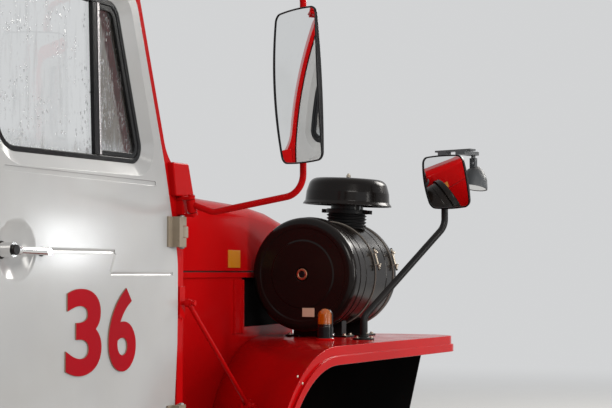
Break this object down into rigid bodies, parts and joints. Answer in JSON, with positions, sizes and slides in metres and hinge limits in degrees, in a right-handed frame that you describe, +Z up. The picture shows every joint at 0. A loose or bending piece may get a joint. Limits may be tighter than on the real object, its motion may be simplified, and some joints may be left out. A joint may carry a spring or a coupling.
{
  "type": "fire engine front corner",
  "caption": "Front right-hand corner of a bonneted fire engine: cab door in its frame, bonnet side, flat wing, drum air cleaner with rain cap, lamp and mirrors.",
  "frame": {"origin": "centre of the bolt pattern in the sole of the chassis foot, under the door pillar", "axes": "+X forward along the vehicle, +Y towards the vehicle's centre line, +Z up"},
  "size_m": [2.693, 1.0135, 1.56],
  "materials": {
    "red_paint": "gloss red paint",
    "cream_paint": "gloss cream paint",
    "black_paint": "satin black paint",
    "brown_paint": "semi-gloss dark brown paint",
    "rubber": "matt",
    "chrome": "polished",
    "steel": "worn",
    "black_plastic": "matt",
    "grey_plastic": "matt",
    "window_glass": "clear",
    "mirror_glass": "polished",
    "amber_lens": "clear amber",
    "clear_lens": "clear",
    "yellow_reflector": "gloss",
    "beige_plate": "matt",
    "zinc": "dull zinc"
  },
  "bodies": {
    "corner": {"cab_side_frame": "red_paint", "door_seal": "rubber", "upper_hinge_bracket": "cream_paint", "lower_hinge_bracket": "cream_paint", "scuttle_panel": "red_paint", "bonnet_side": "red_paint", "bay_sheet": "black_paint", "bonnet_rubber": "rubber", "inner_side_panel": "red_paint", "wing": "red_paint", "wing_liner": "black_paint", "air_cleaner_body": "brown_paint", "air_cleaner_cover": "brown_paint", "cleaner_fasteners": "zinc", "cleaner_clamps": "black_paint", "cleaner_cradle": "black_paint", "intake_stack": "rubber", "neck_clamp": "black_paint", "rain_cap": "brown_paint", "cleaner_plate": "beige_plate", "outlet_hose": "rubber", "lamp_body": "black_plastic", "lamp_amber_lens": "amber_lens", "lamp_clear_lens": "clear_lens", "lower_mirror_bracket": "red_paint", "upper_mirror_bracket": "red_paint", "aux_mirror_arm": "black_paint", "wing_stay": "red_paint", "stay_bracket": "red_paint", "side_reflector": "yellow_reflector", "door_striker": "steel", "chassis_foot": "black_paint"},
    "door": {"door_panel": "cream_paint", "window_seal": "rubber", "window_divider": "black_paint", "divider_trim": "chrome", "vent_frame": "black_plastic", "main_glass": "window_glass", "vent_glass": "window_glass", "upper_hinge_leaf": "cream_paint", "lower_hinge_leaf": "cream_paint", "door_handle": "chrome", "door_button": "black_plastic", "inner_handles": "chrome"},
    "mirror_arm": {"tall_mirror_arm": "red_paint"},
    "tall_mirror": {"tall_mirror_shell": "black_plastic", "tall_mirror_glass": "mirror_glass", "tall_mirror_clamps": "black_paint"},
    "aux_mirror": {"aux_mirror_shell": "black_plastic", "aux_mirror_glass": "mirror_glass", "aux_mirror_clamp": "black_paint", "aux_mirror_plate": "steel"},
    "spotter": {"spotter_shell": "grey_plastic", "spotter_glass": "mirror_glass"}
  },
  "joints": [
    {"name": "door_hinge", "type": "hinge", "parent": "corner", "child": "door", "pos_m": [-0.066, -0.076, 0.576], "axis": [0, 0, 1], "range_deg": [0, 70]},
    {"name": "mirror_arm_fold", "type": "hinge", "parent": "corner", "child": "mirror_arm", "pos_m": [-0.045, -0.094, 0.905], "axis": [-0.3115, 0, 0.9502], "range_deg": [0, 60]},
    {"name": "tall_mirror_turn", "type": "hinge", "parent": "mirror_arm", "child": "tall_mirror", "pos_m": [-0.06, -0.44, 1.212], "axis": [0, 0, 1], "range_deg": [-20, 20]},
    {"name": "aux_mirror_turn", "type": "hinge", "parent": "corner", "child": "aux_mirror", "pos_m": [1.325, -0.344, 1.045], "axis": [0, 0, 1], "range_deg": [-25, 25]},
    {"name": "spotter_tilt", "type": "hinge", "parent": "aux_mirror", "child": "spotter", "pos_m": [1.36611, -0.43784, 1.119], "axis": [-0.2588, -0.9659, 0], "range_deg": [-15, 15]}
  ]
}
